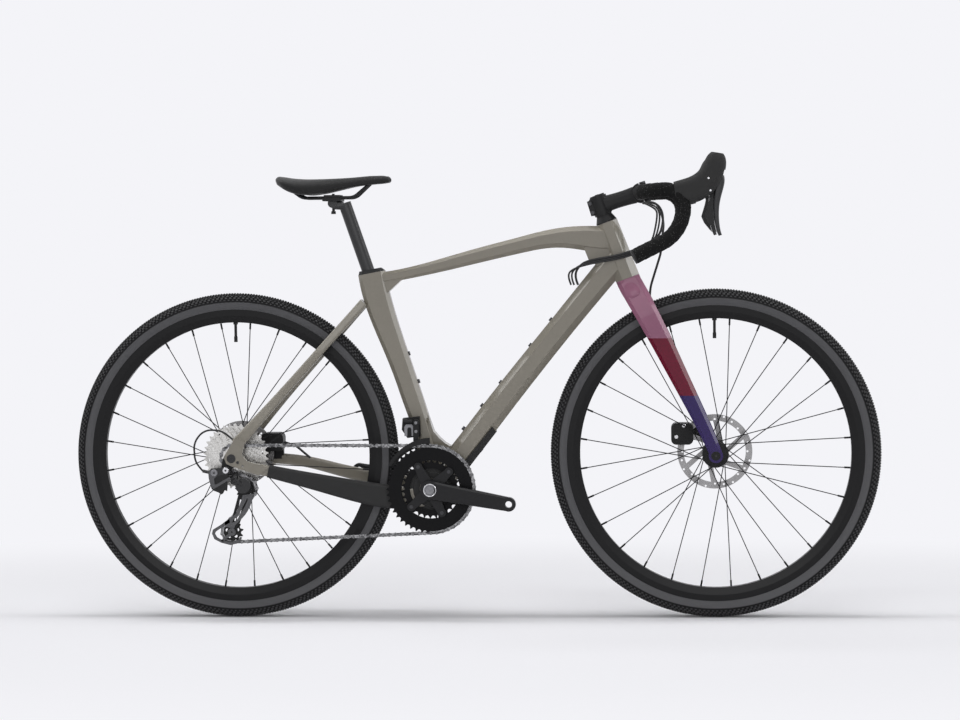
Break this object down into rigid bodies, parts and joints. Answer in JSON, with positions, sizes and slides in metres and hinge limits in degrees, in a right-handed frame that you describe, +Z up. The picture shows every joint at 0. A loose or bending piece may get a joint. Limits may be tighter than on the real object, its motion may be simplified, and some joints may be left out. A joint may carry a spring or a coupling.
{
  "type": "gravel bike",
  "caption": "Drop-bar gravel bicycle with a rigid fork, disc brakes, double chainring, long-cage rear derailleur and spoked wheels with wide tyres.",
  "frame": {"origin": "on the ground, midway between the two axles, in the bike's middle plane", "axes": "+X forward, +Y to the rider's left, +Z up"},
  "size_m": [1.726, 0.4984, 0.9815],
  "materials": {
    "frame_paint": "gloss paint on carbon composite",
    "fork_paint": "gloss paint on carbon composite",
    "guard_rubber": "matte",
    "black_alloy": "satin black anodised",
    "dark_plastic": "satin",
    "crank_alloy": "satin dark grey",
    "steel": "satin",
    "black_steel": "black",
    "tyre": "matte",
    "hood_rubber": "matte",
    "tape": "matte, perforated",
    "saddle_skin": "satin",
    "hose": "satin"
  },
  "bodies": {
    "frame": {"main_frame": "frame_paint", "seatstays": "frame_paint", "chainstays": "frame_paint", "frame_guards": "guard_rubber", "seat_clamp": "dark_plastic", "bottle_bolts": "steel", "derailleur_hanger": "black_alloy", "rear_axle": "black_alloy", "bottom_bracket": "black_alloy", "rear_caliper": "black_alloy", "headset_bearings": "steel", "fd_body": "black_alloy", "rd_mount": "black_alloy", "rear_shift_housing": "hose", "steering_hoses": "hose", "chain": "steel"},
    "seat": {"seatpost": "black_alloy", "saddle_clamp": "black_alloy", "saddle_rails": "black_steel", "saddle": "saddle_skin"},
    "steering": {"fork": "fork_paint", "headset_stack": "black_alloy", "stem": "black_alloy", "stem_faceplate": "black_alloy", "cockpit_bolts": "steel", "handlebar": "black_alloy", "bar_tape": "tape", "bar_plugs": "dark_plastic", "lever_hoods": "hood_rubber", "front_axle": "black_alloy", "front_caliper": "black_alloy", "front_brake_hose": "hose"},
    "front_wheel": {"front_tyre": "tyre", "front_rim": "black_alloy", "front_spokes": "black_steel", "front_hub": "black_alloy", "front_rotor": "steel", "front_valve": "steel"},
    "rear_wheel": {"rear_tyre": "tyre", "rear_rim": "black_alloy", "rear_spokes": "black_steel", "rear_hub": "black_alloy", "rear_rotor": "steel", "rear_valve": "steel"},
    "crankset": {"crank_right": "crank_alloy", "crank_left": "crank_alloy", "chainrings": "black_alloy", "chainring_bolts": "steel"},
    "cassette": {"cassette": "steel"},
    "rd_outer_link": {"rd_outer_link": "black_alloy"},
    "rd_inner_link": {"rd_inner_link": "black_alloy"},
    "rd_knuckle": {"rd_cage_knuckle": "black_alloy"},
    "rd_cage": {"rd_cage": "black_alloy"},
    "guide_pulley": {"guide_pulley": "dark_plastic"},
    "tension_pulley": {"tension_pulley": "dark_plastic"},
    "fd_cage": {"fd_cage": "black_alloy"},
    "brake_lever_right": {"brake_lever_right": "black_alloy"},
    "brake_lever_left": {"brake_lever_left": "black_alloy"},
    "shift_paddle_right": {"shift_paddle_right": "dark_plastic"},
    "shift_paddle_left": {"shift_paddle_left": "dark_plastic"}
  },
  "joints": [
    {"name": "steer", "type": "hinge", "parent": "frame", "child": "steering", "pos_m": [0.33006, 0, 0.72398], "axis": [-0.342, 0, 0.9397], "range_deg": [-60, 60], "deforming": ["steering_hoses"]},
    {"name": "front_wheel_spin", "type": "hinge", "parent": "steering", "child": "front_wheel", "pos_m": [0.513, 0, 0.35], "axis": [0, 1, 0], "continuous": true},
    {"name": "rear_wheel_spin", "type": "hinge", "parent": "frame", "child": "rear_wheel", "pos_m": [-0.513, 0, 0.35], "axis": [0, 1, 0], "continuous": true},
    {"name": "crank_spin", "type": "hinge", "parent": "frame", "child": "crankset", "pos_m": [-0.09076, 0, 0.28], "axis": [0, 1, 0], "continuous": true, "deforming": ["chain"]},
    {"name": "cassette_spin", "type": "hinge", "parent": "frame", "child": "cassette", "pos_m": [-0.513, 0, 0.35], "axis": [0, 1, 0], "continuous": true},
    {"name": "rd_swing", "type": "hinge", "parent": "frame", "child": "rd_outer_link", "pos_m": [-0.553, -0.055, 0.319], "axis": [0.3124, 0.7156, 0.6248], "range_deg": [-7, 56], "deforming": ["chain"]},
    {"name": "rd_inner_swing", "type": "hinge", "parent": "frame", "child": "rd_inner_link", "pos_m": [-0.55748, -0.04522, 0.31004], "axis": [0.3124, 0.7156, 0.6248], "range_deg": [-7, 56]},
    {"name": "rd_knuckle_turn", "type": "hinge", "parent": "rd_outer_link", "child": "rd_knuckle", "pos_m": [-0.50469, -0.07186, 0.31415], "axis": [0.3124, 0.7156, 0.6248], "range_deg": [-56, 7]},
    {"name": "rd_cage_swing", "type": "hinge", "parent": "rd_knuckle", "child": "rd_cage", "pos_m": [-0.49, 0, 0.291], "axis": [0, 1, 0], "range_deg": [-55, 20], "stiffness_Nm_per_rad": 0.6, "deforming": ["chain"]},
    {"name": "guide_pulley_spin", "type": "hinge", "parent": "rd_cage", "child": "guide_pulley", "pos_m": [-0.486, 0, 0.284], "axis": [0, 1, 0], "continuous": true},
    {"name": "tension_pulley_spin", "type": "hinge", "parent": "rd_cage", "child": "tension_pulley", "pos_m": [-0.51734, 0, 0.19115], "axis": [0, 1, 0], "continuous": true},
    {"name": "fd_swing", "type": "hinge", "parent": "frame", "child": "fd_cage", "pos_m": [-0.12476, -0.038, 0.424], "axis": [1, 0, 0], "range_deg": [0, 8], "deforming": ["chain"]},
    {"name": "brake_lever_right_pull", "type": "hinge", "parent": "steering", "child": "brake_lever_right", "pos_m": [0.50526, -0.211, 0.92166], "axis": [0, 1, 0], "range_deg": [0, 15], "stiffness_Nm_per_rad": 1},
    {"name": "brake_lever_left_pull", "type": "hinge", "parent": "steering", "child": "brake_lever_left", "pos_m": [0.50526, 0.211, 0.92166], "axis": [0, 1, 0], "range_deg": [0, 15], "stiffness_Nm_per_rad": 1},
    {"name": "shift_paddle_right_push", "type": "hinge", "parent": "brake_lever_right", "child": "shift_paddle_right", "pos_m": [0.50476, -0.211, 0.89565], "axis": [0.995, 0, 0.0995], "range_deg": [0, 14], "stiffness_Nm_per_rad": 0.2},
    {"name": "shift_paddle_left_push", "type": "hinge", "parent": "brake_lever_left", "child": "shift_paddle_left", "pos_m": [0.50476, 0.211, 0.89565], "axis": [-0.995, 0, -0.0995], "range_deg": [0, 14], "stiffness_Nm_per_rad": 0.2},
    {"name": "seatpost_height", "type": "slide", "parent": "frame", "child": "seat", "axis": [-0.3206, 0, 0.9472], "range_m": [-0.04, 0.03]}
  ],
  "couplings": [
    {"joint": "cassette_spin", "follows": "crank_spin", "ratio": 3.5385},
    {"joint": "tension_pulley_spin", "follows": "crank_spin", "ratio": 4.1818},
    {"joint": "guide_pulley_spin", "follows": "crank_spin", "ratio": -4.1818},
    {"joint": "rd_inner_swing", "follows": "rd_swing", "ratio": 1},
    {"joint": "rd_knuckle_turn", "follows": "rd_swing", "ratio": -1}
  ]
}
